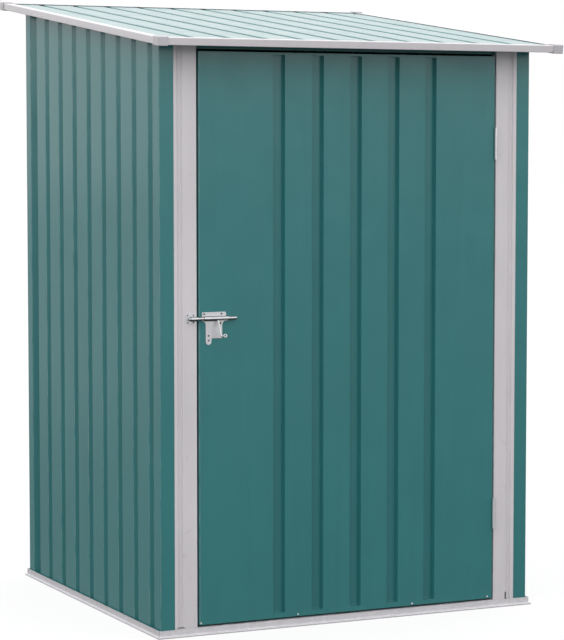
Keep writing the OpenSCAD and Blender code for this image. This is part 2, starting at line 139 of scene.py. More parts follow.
@dataclass(frozen=True)
class Pattern:
    """A soft random pattern: the size of its spots, its lowest and highest value, and its stretch.

    The stretch says how many times longer a spot is along X, Y and Z.
    """

    size_mm: float
    low: float = 0.0
    high: float = 1.0
    stretch: Place = (1, 1, 1)


@dataclass(frozen=True)
class Bump:
    """How strongly a pattern marks a surface, and the depth of its marks."""

    strength: float
    depth: float


@dataclass(frozen=True)
class Finish:
    """What every finish has: a name, a colour and how matt it is."""

    name: str
    colour: str
    roughness: float

    def material(self) -> Material:
        """Gives the finish as a material, and makes it the first time.

        Returns:
            The material with its nodes.
        """
        made = bpy.data.materials.get(self.name)
        if made is None:
            made = bpy.data.materials.new(self.name)
            made.use_nodes = True
            tree = made.node_tree
            place = add(tree, "ShaderNodeTexCoord").outputs["Object"]
            self.dress(tree, tree.nodes["Principled BSDF"], place)
        return made

    def dress(self, tree: NodeTree, shader: Node, place: NodeSocket) -> None:
        """Adds the nodes of this finish.

        Args:
            tree: The material's node tree.
            shader: Its Principled BSDF.
            place: Object coordinates, in metres.
        """
        raise NotImplementedError

    def noise(self, tree: NodeTree, place: NodeSocket, pattern: Pattern,
              around: float = 0.0) -> NodeSocket:
        """Adds a soft random pattern.

        Args:
            tree: The material's node tree.
            place: Coordinates to draw it on.
            pattern: The pattern.
            around: Value that the pattern's own values are added to.

        Returns:
            The pattern's value.
        """
        scale = [1 / (pattern.size_mm * MM * s) for s in pattern.stretch]
        at = add(tree, "ShaderNodeMapping", {"vector_type": "POINT"}, {"Vector": place, "Scale": scale})
        spots = add(tree, "ShaderNodeTexNoise", {}, {
            "Vector": at.outputs[0], "Scale": 1.0, "Detail": 3.0})
        return add(tree, "ShaderNodeMapRange", {}, {
            "Value": spots.outputs[0], "From Min": NOISE_LOW, "From Max": NOISE_HIGH,
            "To Min": around + pattern.low, "To Max": around + pattern.high}).outputs[0]

    def press(self, tree: NodeTree, shader: Node, marks: NodeSocket, bump: Bump) -> None:
        """Presses marks into the surface.

        Args:
            tree: The material's node tree.
            shader: Its Principled BSDF, which keeps any bumps that it has.
            marks: Height of the marks, from 0 to 1.
            bump: Their strength and depth.
        """
        pressed = add(tree, "ShaderNodeBump", {}, {
            "Height": marks, "Strength": bump.strength, "Distance": bump.depth})
        for link in shader.inputs["Normal"].links:
            tree.links.new(link.from_socket, pressed.inputs["Normal"])
        tree.links.new(pressed.outputs[0], shader.inputs["Normal"])


@dataclass(frozen=True)
class PaintedSteel(Finish):
    """Steel sheet, zinc-coated, rolled and stove-painted: smooth and fairly glossy.

    The coat has a faint orange peel, drawn twice as coarse as a real one so that it shows, and
    the thin sheet bows a little between its folds. Dust gathers near the ground. The folds are
    painted paler in spots: rubbed wear, and a painted highlight along them, which is most of it
    on the pale paint.
    """

    dust: str = "#8f8b80"
    dust_top: float = 0.12
    dust_most: float = 0.02
    dusting: Pattern = Pattern(14.0, 0.2, 1.0, (1, 1, 2))
    # Paler colour and spots on the folds: rubbed wear and a painted highlight along them.
    fold_wear_and_highlight: str = "#9aa5a5"
    fold_wear_and_highlight_spots: Pattern = Pattern(9.0, 0.0, 0.3, (1, 1, 5))
    tone: Pattern = Pattern(240.0, 0.97, 1.03)
    streaks: Pattern = Pattern(22.0, 0.98, 1.02, (1, 1, 14))
    gloss: Pattern = Pattern(60.0, -0.03, 0.03)
    peel: Pattern = Pattern(3.0)
    peel_bump: Bump = Bump(0.35, 0.02 * MM)
    bow: Pattern = Pattern(240.0, stretch=(1, 1, 2))
    bow_bump: Bump = Bump(0.3, 0.6 * MM)

    def dress(self, tree: NodeTree, shader: Node, place: NodeSocket) -> None:
        """Adds tone, streaks, dust, paler folds of rubbed wear and painted highlight, gloss changes and
        bumps.
        """
        tone = self.noise(tree, place, self.tone)
        streak = self.noise(tree, place, self.streaks)
        value = add(tree, "ShaderNodeMath", {"operation": "MULTIPLY"}, {0: tone, 1: streak})
        colour = add(tree, "ShaderNodeHueSaturation", {}, {
            "Color": linear(self.colour), "Value": value.outputs[0]}).outputs[0]
        height = add(tree, "ShaderNodeSeparateXYZ", {}, {0: place}).outputs["Z"]
        low = add(tree, "ShaderNodeMapRange", {"interpolation_type": "SMOOTHSTEP"}, {
            "Value": height, "From Min": 0.0, "From Max": self.dust_top,
            "To Min": self.dust_most, "To Max": 0.0})
        spots = self.noise(tree, place, self.dusting)
        dust = add(tree, "ShaderNodeMath", {"operation": "MULTIPLY"}, {0: low.outputs[0], 1: spots})
        colour = add(tree, "ShaderNodeMix", {"data_type": "RGBA"}, {
            0: dust.outputs[0], 6: colour, 7: linear(self.dust)}).outputs[2]
        # Paler folds: rubbed wear and a painted highlight on the rounds.
        fold = add(tree, "ShaderNodeAttribute", {"attribute_name": "fold"}).outputs["Fac"]
        wear_and_highlight_spots = self.noise(tree, place, self.fold_wear_and_highlight_spots)
        fold_wear_and_highlight = add(tree, "ShaderNodeMath", {"operation": "MULTIPLY"}, {0: fold, 1: wear_and_highlight_spots})
        colour = add(tree, "ShaderNodeMix", {"data_type": "RGBA"}, {
            0: fold_wear_and_highlight.outputs[0], 6: colour, 7: linear(self.fold_wear_and_highlight)}).outputs[2]
        tree.links.new(colour, shader.inputs["Base Color"])
        gloss = self.noise(tree, place, self.gloss, self.roughness)
        rough = add(tree, "ShaderNodeMath", {"operation": "ADD"}, {0: gloss, 1: dust.outputs[0]})
        tree.links.new(rough.outputs[0], shader.inputs["Roughness"])
        self.press(tree, shader, self.noise(tree, place, self.peel), self.peel_bump)
        self.press(tree, shader, self.noise(tree, place, self.bow), self.bow_bump)


@dataclass(frozen=True)
class GalvanisedSteel(Finish):
    """Hot-dip galvanised steel: dull grey zinc in crystals, each a shade lighter or duller."""

    metallic: float = 0.25
    crystal_mm: float = 11.0
    tone: Point = (0.95, 1.05)
    gloss: Point = (-0.07, 0.07)
    grain: Pattern = Pattern(1.5)
    grain_bump: Bump = Bump(0.4, 0.02 * MM)

    def dress(self, tree: NodeTree, shader: Node, place: NodeSocket) -> None:
        """Adds crystals that differ in tone and gloss, and a fine grain."""
        shader.inputs["Metallic"].default_value = self.metallic
        cells = add(tree, "ShaderNodeTexVoronoi", {}, {
            "Vector": place, "Scale": 1 / (self.crystal_mm * MM)})
        parts = add(tree, "ShaderNodeSeparateColor", {}, {0: cells.outputs["Color"]})
        tone = add(tree, "ShaderNodeMapRange", {}, {
            "Value": parts.outputs[0], "To Min": self.tone[0], "To Max": self.tone[1]})
        colour = add(tree, "ShaderNodeHueSaturation", {}, {
            "Color": linear(self.colour), "Value": tone.outputs[0]})
        tree.links.new(colour.outputs[0], shader.inputs["Base Color"])
        rough = add(tree, "ShaderNodeMapRange", {}, {
            "Value": parts.outputs[1], "To Min": self.roughness + self.gloss[0],
            "To Max": self.roughness + self.gloss[1]})
        tree.links.new(rough.outputs[0], shader.inputs["Roughness"])
        self.press(tree, shader, self.noise(tree, place, self.grain), self.grain_bump)


@dataclass(frozen=True)
class ZincPlate(Finish):
    """Pressed steel, barrel-plated with bright zinc: pale, slightly clouded metal."""

    metallic: float = 0.55
    clouds: Pattern = Pattern(9.0, 0.97, 1.03)
    patches: Pattern = Pattern(6.0, -0.04, 0.06)
    marks: Pattern = Pattern(3.0, stretch=(3, 1, 1))
    mark_bump: Bump = Bump(0.3, 0.02 * MM)

    def dress(self, tree: NodeTree, shader: Node, place: NodeSocket) -> None:
        """Adds clouding, tumbling marks and duller patches."""
        shader.inputs["Metallic"].default_value = self.metallic
        cloud = self.noise(tree, place, self.clouds)
        colour = add(tree, "ShaderNodeHueSaturation", {}, {
            "Color": linear(self.colour), "Value": cloud})
        tree.links.new(colour.outputs[0], shader.inputs["Base Color"])
        rough = self.noise(tree, place, self.patches, self.roughness)
        tree.links.new(rough, shader.inputs["Roughness"])
        self.press(tree, shader, self.noise(tree, place, self.marks), self.mark_bump)


@dataclass(frozen=True)
class ChromedRod(Finish):
    """Drawn steel, chromed: mirror-bright, with hairlines along it and painted shade underneath.

    The dark colour on whatever faces down is painted shade, in place of the dark reflection under a
    bolt's rod.
    """

    metallic: float = 1.0
    # Colour of the painted shade on faces that turn down, how strong it gets, and where it starts and
    # is full.
    film: str = "#1c2022"
    underside_shade_most: float = 0.9
    underside_shade_start: float = -0.15
    underside_shade_full: float = -0.45
    tone: Pattern = Pattern(12.0, 0.98, 1.02, (3, 1, 1))
    gloss: Point = (-0.03, 0.06)
    hairlines: Pattern = Pattern(0.5, stretch=(40, 1, 1))
    hairline_bump: Bump = Bump(0.15, 0.01 * MM)

    def dress(self, tree: NodeTree, shader: Node, place: NodeSocket) -> None:
        """Adds hairlines in the gloss and the surface, and painted shade on what faces down."""
        shader.inputs["Metallic"].default_value = self.metallic
        tone = self.noise(tree, place, self.tone)
        colour = add(tree, "ShaderNodeHueSaturation", {}, {
            "Color": linear(self.colour), "Value": tone})
        # Painted shade: the more a face turns down, the darker its colour.
        facing = add(tree, "ShaderNodeNewGeometry").outputs["Normal"]
        down = add(tree, "ShaderNodeSeparateXYZ", {}, {0: facing}).outputs["Z"]
        film = add(tree, "ShaderNodeMapRange", {"interpolation_type": "SMOOTHSTEP"}, {
            "Value": down, "From Min": self.underside_shade_start, "From Max": self.underside_shade_full,
            "To Min": 0.0, "To Max": self.underside_shade_most})
        colour = add(tree, "ShaderNodeMix", {"data_type": "RGBA"}, {
            0: film.outputs[0], 6: colour.outputs[0], 7: linear(self.film)})
        tree.links.new(colour.outputs[2], shader.inputs["Base Color"])
        lines = self.noise(tree, place, self.hairlines)
        rough = add(tree, "ShaderNodeMapRange", {}, {
            "Value": lines, "To Min": self.roughness + self.gloss[0],
            "To Max": self.roughness + self.gloss[1]})
        tree.links.new(rough.outputs[0], shader.inputs["Roughness"])
        self.press(tree, shader, lines, self.hairline_bump)


@dataclass(frozen=True)
class MouldedPlastic(Finish):
    """Injection-moulded polypropylene: matt, with the fine spark-eroded grain of its mould."""

    flow: Pattern = Pattern(16.0, 0.97, 1.03)
    gloss: Point = (-0.05, 0.05)
    grain: Pattern = Pattern(0.8)
    grain_bump: Bump = Bump(0.3, 0.05 * MM)

    def dress(self, tree: NodeTree, shader: Node, place: NodeSocket) -> None:
        """Adds faint flow marks and the mould's grain."""
        flow = self.noise(tree, place, self.flow)
        colour = add(tree, "ShaderNodeHueSaturation", {}, {
            "Color": linear(self.colour), "Value": flow})
        tree.links.new(colour.outputs[0], shader.inputs["Base Color"])
        grain = self.noise(tree, place, self.grain)
        rough = add(tree, "ShaderNodeMapRange", {}, {
            "Value": grain, "To Min": self.roughness + self.gloss[0],
            "To Max": self.roughness + self.gloss[1]})
        tree.links.new(rough.outputs[0], shader.inputs["Roughness"])
        self.press(tree, shader, grain, self.grain_bump)


# Deep sea green that mirrors light and dark around it in soft bands.
GREEN = PaintedSteel("Green stove-painted steel", "#2e7173", 0.16)
# The same paint after sun and rain: the sky only hazes it.
ROOF_GREEN = PaintedSteel("Green roof paint, dulled by weather", "#2f7375", 0.22)
# Off-white with a satin gloss, so that its folds read by shade, with a lighter fold colour as a painted
# highlight along them.
WHITE = PaintedSteel("Pale stove-painted steel", "#c9c5c9", 0.3, fold_wear_and_highlight="#dcdcde")
# Light, flat grey with a faint mottle.
RAIL = GalvanisedSteel("Galvanised steel", "#c8c6ca", 0.42)
# Pale satin metal, a little cloudy.
ZINC = ZincPlate("Bright zinc-plated steel", "#c4c4c7", 0.34)
# Darker and duller than the plate it holds, so that each head shows as a dot; the dark colour is
# painted shade on the heads and their drive recesses.
SCREW = ZincPlate("Zinc-plated screw steel darkened by painted shade", "#66656a", 0.4, metallic=0.8)
# A bright line along the top of the rod, and painted shade below it.
ROD = ChromedRod("Chromed steel", "#b0b1b3", 0.1)
# Soft matt grey without a clear reflection.
PLASTIC = MouldedPlastic("Grey moulded polypropylene", "#bab7bc", 0.5)


# Mesh work ------------------------------------------------


def show(name: str, mesh: Mesh, finish: Finish, body: Body,
         replaces: Sequence[str] = (), sharp: float = 40.0) -> Object:
    """Puts a finished mesh into the scene as a piece of the shed.

    Args:
        name: Name of the piece.
        mesh: Its mesh, in the shed's frame.
        finish: Its finish.
        body: Body that it moves with.
        replaces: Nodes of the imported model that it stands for.
        sharp: Angle in degrees from which an edge stays sharp.

    Returns:
        The new object.
    """
    mesh.name = name
    mesh.materials.clear()
    mesh.materials.append(finish.material())
    mesh.shade_smooth()
    mesh.set_sharp_from_angle(angle=math.radians(sharp))
    made = bpy.data.objects.new(name, mesh)
    bpy.context.scene.collection.objects.link(made)
    even = made.modifiers.new("Even normals", "WEIGHTED_NORMAL")
    even.keep_sharp = True
    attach(made, body.value)
    if replaces:
        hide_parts(*replaces)
    log.info("%s: %d faces on %s", name, len(mesh.polygons), body.value)
    return made


def to_mesh(bm: BMesh, turn: bool = True) -> Mesh:
    """Turns a working mesh into a finished one.

    Args:
        bm: The working mesh, which is freed.
        turn: Whether its faces are first turned outwards.

    Returns:
        The mesh.
    """
    if turn:
        bmesh.ops.recalc_face_normals(bm, faces=bm.faces)
    mesh = bpy.data.meshes.new("work")
    bm.to_mesh(mesh)
    bm.free()
    return mesh


def face_width(face: BMFace) -> float:
    """Gives the width of a long face, or half the side of a square one."""
    return 2 * face.calc_area() / face.calc_perimeter()


def is_fold(edge: BMEdge, thin: float) -> bool:
    """Tells whether an edge is a fold of the sheet and not one of its cut edges."""
    return (len(edge.link_faces) == 2 and edge.calc_face_angle() > FOLD_TURN
            and min(face_width(f) for f in edge.link_faces) > thin)


def round_off(bm: BMesh, edges: Sequence[BMEdge], reach: float, steps: int) -> list[BMFace]:
    """Rounds edges of a working mesh.

    Args:
        bm: The working mesh.
        edges: Edges to round.
        reach: How far the round reaches on each side.
        steps: Faces in the round.

    Returns:
        The new faces.
    """
    return bmesh.ops.bevel(bm, geom=edges, offset=reach, offset_type="OFFSET", segments=steps,
                           profile=0.5, affect="EDGES", clamp_overlap=True)["faces"]


def rounded(node: str, radius: float, steps: int, thin: float = 2.2 * MM,
            soft: float = 0.0, soft_steps: int = 6) -> Mesh:
    """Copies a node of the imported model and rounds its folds.

    Args:
        node: Name of the node.
        radius: How far a round reaches from the fold's corner.
        steps: Faces in a round.
        thin: Faces narrower than this are cut edges, which stay crisp.
        soft: How far the round of the front's left edge reaches, or 0 if it is like the rest.
        soft_steps: Faces in that wider round.

    Returns:
        The mesh, whose corner attribute "fold" is 1 on the rounds.
    """
    bm = bmesh.new()
    bm.from_mesh(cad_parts[node].data)
    bmesh.ops.remove_doubles(bm, verts=bm.verts, dist=SAME_POINT)
    bmesh.ops.dissolve_limit(bm, angle_limit=SAME_PLANE, verts=bm.verts, edges=bm.edges)
    rounds: list[BMFace] = []
    # The outer edge and the inner one, a sheet's thickness behind it, share a centre.
    for deep in (0.0, SHEET) if soft else ():
        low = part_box(node)[0] + Vector((deep, deep, deep))
        left, front = [{v for v in bm.verts if abs(v.co[axis] - low[axis]) < ON_SIDE}
                       for axis in (0, 1)]
        edges = [e for e in bm.edges if set(e.verts) <= left & front]
        rounds += round_off(bm, edges, soft - deep, soft_steps)
    folds = [e for e in bm.edges if is_fold(e, thin)]
    rounds += round_off(bm, folds, radius, steps)
    mark = bm.loops.layers.float.new("fold")
    for face in rounds:
        if face.is_valid:
            for loop in face.loops:
                loop[mark] = 1.0
    return to_mesh(bm, turn=False)


def cut(mesh: Mesh, boxes: Sequence[tuple[Vector, Vector]]) -> Mesh:
    """Cuts boxes out of a mesh.

    Args:
        mesh: The closed mesh.
        boxes: Lowest and highest corner of each box.

    Returns:
        A new mesh.
    """
    bm = bmesh.new()
    for low, high in boxes:
        size = high - low
        bmesh.ops.create_cube(bm, size=1.0, matrix=Matrix.LocRotScale((low + high) / 2, None, size))
    tool = bpy.data.objects.new("tool", to_mesh(bm))
    work = bpy.data.objects.new("work", mesh)
    for made in (tool, work):
        bpy.context.scene.collection.objects.link(made)
    step = work.modifiers.new("Cut", "BOOLEAN")
    step.object = tool
    step.solver = "EXACT"
    result = bpy.data.meshes.new_from_object(work.evaluated_get(bpy.context.evaluated_depsgraph_get()))
    bpy.data.objects.remove(work)
    bpy.data.objects.remove(tool)
    return result


def lathe(bm: BMesh, profile: Sequence[Point], place: Matrix, steps: int,
          on_axis: float = 1e-7) -> None:
    """Turns a profile about an axis into a closed form.

    Args:
        bm: Working mesh that gets it.
        profile: Points as distance from the axis and height, from end to end. An end on the
            axis closes there, and a profile off the axis is closed as a ring.
        place: Puts the axis, which is Z, in place.
        steps: Faces round the axis.
        on_axis: A point nearer to the axis than this lies on it.
    """
    rings: list[list[BMVert]] = []
    for r, h in profile:
        if r < on_axis:
            rings.append([bm.verts.new(place @ Vector((0, 0, h)))])
            continue
        angles = [2 * math.pi * i / steps for i in range(steps)]
        rings.append([bm.verts.new(place @ Vector((r * math.cos(a), r * math.sin(a), h)))
                      for a in angles])
    ring_form = len(rings[0]) > 1 and len(rings[-1]) > 1
    pairs = list(zip(rings, rings[1:])) + ([(rings[-1], rings[0])] if ring_form else [])
    for a, b in pairs:
        for i in range(steps):
            j = (i + 1) % steps
            corners = [a[i % len(a)], a[j % len(a)], b[j % len(b)], b[i % len(b)]]
            bm.faces.new(list(dict.fromkeys(corners)))


def prism(bm: BMesh, outline: Sequence[Point], place: Matrix, depth: float) -> None:
    """Makes a closed plate from an outline.

    Args:
        bm: Working mesh that gets it.
        outline: Corners in order.
        place: Puts the outline's plane, which is XY, in place.
        depth: Thickness along the plane's Z.
    """
    low = [bm.verts.new(place @ Vector((x, y, 0))) for x, y in outline]
    high = [bm.verts.new(place @ Vector((x, y, depth))) for x, y in outline]
    bm.faces.new(low[::-1])
    bm.faces.new(high)
    for i in range(len(outline)):
        j = (i + 1) % len(outline)
        bm.faces.new([low[i], low[j], high[j], high[i]])


def arc(centre: Point, radius: float, start: float, end: float, steps: int = 8) -> list[Point]:
    """Gives points of an arc.

    Args:
        centre: Middle of the arc.
        radius: Its radius.
        start: Angle of its first point in degrees.
        end: Angle of its last point in degrees.
        steps: Parts that it is drawn in.

    Returns:
        The points from start to end.
    """
    turns = [math.radians(start + (end - start) * i / steps) for i in range(steps + 1)]
    return [(centre[0] + radius * math.cos(t), centre[1] + radius * math.sin(t)) for t in turns]


# Sheet pieces ---------------------------------------------


@dataclass
class SheetWork:
    """The folded sheets: walls, posts, door, roof, trims, rails and frame."""

    fold: float = 1.7 * MM
    door_fold: float = 1.2 * MM
    wide_fold: float = 4.5 * MM
    steps: int = 3
    slot_left: float = 43.0 * MM
    slot_wide: float = 21.0 * MM
    slot_foot: float = 1.0 * MM
    slot_head: float = 3.0 * MM
    slit_left: float = 972.0 * MM
    slit_wide: float = 6.5 * MM
    slit_foot: float = -3.0 * MM
    slit_head: float = 17.0 * MM
    cut_front: float = 5.0 * MM
    cut_back: float = 9.0 * MM

    def build(self) -> None:
        """Makes each sheet with round folds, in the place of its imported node."""
        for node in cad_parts:
            kind = self.kind(node)
            if kind is None:
                continue
            finish, slot = kind
            body = Body.DOOR if node.startswith("door_") and "post" not in node else Body.SHED
            door = node == "door_skin"
            mesh = rounded(node, self.door_fold if door else self.fold, self.steps,
                           soft=self.wide_fold if door else 0.0)
            if node == "door_post_left":
                mesh = cut(mesh, [self.opening(node, self.slot_left, self.slot_wide,
                                               self.slot_foot, self.slot_head)])
            if node == "door_post_right":
                mesh = cut(mesh, [self.opening(node, self.slit_left, self.slit_wide,
                                               self.slit_foot, self.slit_head)])
            show(f"{node}_sheet", mesh, finish, body, (node,))

    @staticmethod
    def kind(node: str) -> tuple[Finish, Slot] | None:
        """Gives the finish and slot of a sheet node, or None for hardware and caps."""
        if node.startswith(("hinge", "bolt", "cap")):
            return None
        if node.startswith("roof_sheet"):
            return ROOF_GREEN, Slot.GREEN
        if node.endswith("_wall") or node in ("door_skin", "lintel"):
            return GREEN, Slot.GREEN
        if node.startswith(("trim", "door_post")):
            return WHITE, Slot.WHITE
        return RAIL, Slot.RAIL

    def opening(self, post: str, left: float, wide: float, foot: float,
                head: float) -> tuple[Vector, Vector]:
        """Gives the box of an opening at the foot of a door post.

        Args:
            post: Node of the post.
            left: The opening's distance from the wall's left side.
            wide: Its width.
            foot: Height of its lower end above the base rail.
            head: Height of its upper end above the base rail.

        Returns:
            Lowest and highest corner of the box.
        """
        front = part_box(post)[0].y
        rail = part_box("base_rail_front")[1].z
        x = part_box("left_wall")[0].x + left
        return (Vector((x, front - self.cut_front, rail + foot)),
                Vector((x + wide, front + self.cut_back, rail + head)))


@dataclass
class CornerCaps:
    """The plastic caps on the roof's corners."""

    radius: float = 2.2 * MM
    thin: float = 2.4 * MM
    steps: int = 4

    def build(self) -> None:
        """Makes each cap with soft moulded edges."""
        for node in [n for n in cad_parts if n.startswith("cap_")]:
            mesh = rounded(node, self.radius, self.steps, self.thin)
            show(f"{node}_moulding", mesh, PLASTIC, Body.SHED, (node,))


# Hardware -------------------------------------------------


@dataclass
class Hinge:
    """A butt hinge: its leaves lie in the door's gap and its knuckles stand in front of it."""

    height: str
    chamfer: float = 0.5 * MM
    knuckle_gap: float = 0.4 * MM
    pin_r: float = 2.2 * MM
    bore_r: float = 2.26 * MM
    leaf_t: float = 1.5 * MM
    leaf_sunk: float = 0.9 * MM
    fixed_off: float = 0.7 * MM
    moving_off: float = 2.2 * MM
    steps: int = 40
    pin_steps: int = 24
    r: float = field(init=False)
    axis: Vector = field(init=False)

    def build(self) -> None:
        """Makes both halves."""
        fixed, moving = f"hinge_{self.height}_fixed", f"hinge_{self.height}_moving"
        low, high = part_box(fixed)
        self.r = (high.x - low.x) / 2
        self.axis = Vector(((low.x + high.x) / 2, low.y + self.r, 0))
        third = self.thirds(low.z, high.z)
        self.half(fixed, Body.SHED, [third[0], third[2]], 1, (low.z, high.z), high.y)
        self.half(moving, Body.DOOR, [third[1]], -1, (low.z, high.z), high.y)

    def thirds(self, low: float, high: float) -> list[Point]:
        """Gives the lower and upper end of the three knuckles."""
        gap = self.knuckle_gap
        each = (high - low - 2 * gap) / 3
        return [(low + i * (each + gap), low + i * (each + gap) + each) for i in range(3)]

    def half(self, node: str, body: Body, knuckles: Sequence[Point], side: int,
             leaf: Point, back: float) -> None:
        """Makes one half of the hinge.

        Args:
            node: Node that it stands for.
            body: Body that it moves with.
            knuckles: Lower and upper end of each of its knuckles.
            side: 1 for the leaf on the post, -1 for the leaf on the door.
            leaf: Lower and upper end of its leaf.
            back: How far back the leaf reaches.
        """
        bm = bmesh.new()
        c, r, pin = self.chamfer, self.r, self.pin_r
        bore = 0.0 if side > 0 else self.bore_r
        place = Matrix.Translation(self.axis)
        for low, high in knuckles:
            rim = [(r - c, low), (r, low + c), (r, high - c), (r - c, high)]
            lathe(bm, [(bore, low), *rim, (bore, high)], place, self.steps)
            self.web(bm, low, high, side, back)
        foot, head = leaf
        if side > 0:
            lathe(bm, [(0, foot), (pin, foot), (pin, head), (0, head)], place, self.pin_steps)
        self.web(bm, foot, head, side, back, front=r + self.leaf_sunk)
        show(f"{node}_half", to_mesh(bm), ZINC, body, (node,))

    def web(self, bm: BMesh, low: float, high: float, side: int, back: float,
            front: float = 0.0) -> None:
        """Adds a flat strip of a leaf between two heights.

        Args:
            bm: Working mesh that gets it.
            low: Lower end.
            high: Upper end.
            side: 1 for the leaf on the post, -1 for the leaf on the door.
            back: Where the strip ends.
            front: How far behind the axis it starts.
        """
        x0 = self.axis.x + (self.fixed_off if side > 0 else -self.moving_off)
        x1 = x0 + self.leaf_t
        y0, y1 = self.axis.y + front, back
        prism(bm, [(x0, y0), (x1, y0), (x1, y1), (x0, y1)], Matrix.Translation((0, 0, low)),
              high - low)


@dataclass
class DoorBolt:
    """A sliding bolt: plate with a barrel, keeper, rod and a handle that ends in an eye."""

    # Bevelled tip and rounded tail, as distances from the rod's surface and its end.
    tip: tuple[Point, ...] = ((-1.5 * MM, 0.0), (-0.2 * MM, 1.3 * MM), (0.0, 1.8 * MM))
    tail: tuple[Point, ...] = ((0.0, -1.0 * MM), (-0.3 * MM, -0.3 * MM), (-1.0 * MM, 0.0))
    # Handle: its lean in degrees, its shank, and the knuckle and eye at its end.
    lean: float = 28.0
    shank_r: float = 2.2 * MM
    shank_off: float = 0.05 * MM
    taper: float = 0.8
    taper_long: float = 8.0 * MM
    knuckle_r: float = 3.2 * MM
    eye_r: float = 3.8 * MM
    eye_wire: float = 1.5 * MM
    # Straps round the rod, in degrees where one stops: 90 is above the rod, 270 below.
    strap_t: float = 1.8 * MM
    strap_clear: float = 0.3 * MM
    barrel_in: float = 3.0 * MM
    barrel_stop: float = 215.0
    handle_clear: float = 1.0 * MM
    keeper_strap: float = 17.0 * MM
    keeper_in: float = 1.0 * MM
    keeper_corner: float = 3.0 * MM
    # Plate: heights and depths from the rod, and places from the plate's left end.
    plate_t: float = 1.5 * MM
    plate_top: float = 15.5 * MM
    plate_foot: float = 6.0 * MM
    plate_corner: float = 2.5 * MM
    flange: float = 64.0 * MM
    tab_left: float = 10.0 * MM
    tab_right: float = 54.0 * MM
    tab_drop: float = 49.0 * MM
    shoulder: float = 10.0 * MM
    tongue: float = 15.0 * MM
    tongue_drop: float = 57.0 * MM
    step: float = 1.0 * MM
    # Faces round each turned form, and along a strap and a corner.
    rod_steps: int = 40
    shank_steps: int = 24
    knuckle_steps: int = 28
    stem_steps: int = 20
    eye_steps: int = 36
    wire_steps: int = 12
    strap_steps: int = 16
    corner_steps: int = 5
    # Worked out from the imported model.
    rod_r: float = field(init=False)
    rod: Vector = field(init=False)
    rod_end: float = field(init=False)
    face: float = field(init=False)

    def build(self) -> None:
        """Makes the four pieces of the bolt."""
        low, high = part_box("bolt_rod")
        self.rod_r = (high.z - low.z) / 2
        self.rod = Vector((low.x, (low.y + high.y) / 2, (low.z + high.z) / 2))
        self.rod_end = high.x
        self.make_rod()
        self.make_handle()
        self.make_keeper()
        self.make_plate()

    def make_rod(self) -> None:
        """Turns the rod, with a bevelled tip and a rounded tail."""
        r, long = self.rod_r, self.rod_end - self.rod.x
        bm = bmesh.new()
        profile = [(0, 0), *[(r + out, along) for out, along in self.tip],
                   *[(r + out, long + along) for out, along in self.tail], (0, long)]
        place = Matrix.Translation(self.rod) @ Matrix.Rotation(math.pi / 2, 4, "Y")
        lathe(bm, profile, place, self.rod_steps)
        show("bolt_rod_turned", to_mesh(bm), ROD, Body.BOLT, ("bolt_rod",))

    def make_handle(self) -> None:
        """Makes the leaning shank, the knuckle at its end and the eye beside the knuckle."""
        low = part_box("bolt_handle")[0]
        turn = Matrix.Rotation(math.radians(-self.lean), 4, "X")
        place = Matrix.Translation((low.x + self.knuckle_r, self.rod.y, self.rod.z)) @ turn
        tip = (self.rod.z - low.z - self.knuckle_r) / math.cos(math.radians(self.lean))
        bm = bmesh.new()
        start = self.rod_r + self.shank_off
        lathe(bm, [(0, -start), (self.shank_r, -start), (self.shank_r, -tip + self.taper_long),
                   (self.taper * self.shank_r, -tip), (0, -tip)], place, self.shank_steps)
        end = place @ Matrix.Translation((0, 0, -tip))
        lathe(bm, arc((0, 0), self.knuckle_r, -QUARTER, QUARTER, 12), end, self.knuckle_steps)
        across = end @ Matrix.Rotation(math.pi / 2, 4, "Y")
        reach = 2 * self.knuckle_r
        lathe(bm, [(0, 0), (self.eye_wire, 0), (self.eye_wire, reach), (0, reach)], across,
              self.stem_steps)
        ring = end @ Matrix.Translation((reach + self.eye_r, 0, 0))
        last = FULL_TURN - FULL_TURN / self.wire_steps
        lathe(bm, arc((self.eye_r, 0), self.eye_wire, 0, last, self.wire_steps - 1),
              ring @ Matrix.Rotation(math.pi / 2, 4, "X"), self.eye_steps)
        show("bolt_handle_eye", to_mesh(bm), ZINC, Body.BOLT, ("bolt_handle",))

    def strap(self, bm: BMesh, x0: float, x1: float, last: float = 3 * QUARTER) -> None:
        """Adds a strap that comes off the plate, goes round the rod and returns to the plate.

        Args:
            bm: Working mesh that gets it.
            x0: Left end.
            x1: Right end.
            last: Angle where it stops: 90 is above the rod, 180 in front and 270 below.
        """
        inner = self.rod_r + self.strap_clear
        outer = inner + self.strap_t
        centre, back = (self.rod.y, self.rod.z), self.face - self.plate_t
        out = [(back, self.rod.z + outer), *arc(centre, outer, QUARTER, last, self.strap_steps)]
        inn = [*arc(centre, inner, last, QUARTER, self.strap_steps), (back, self.rod.z + inner)]
        if last >= 3 * QUARTER:
            out.append((back, self.rod.z - outer))
            inn.insert(0, (back, self.rod.z - inner))
        place = Matrix.Translation((x0, 0, 0)) @ Matrix(((0, 0, 1, 0), (1, 0, 0, 0), (0, 1, 0, 0),
                                                         (0, 0, 0, 1)))
        prism(bm, out + inn, place, x1 - x0)

    def on_face(self) -> Matrix:
        """Gives the placing of an outline in X and Z, whose thickness is towards the front."""
        return Matrix.Translation((0, self.face, 0)) @ Matrix(((1, 0, 0, 0), (0, 0, -1, 0),
                                                               (0, 1, 0, 0), (0, 0, 0, 1)))

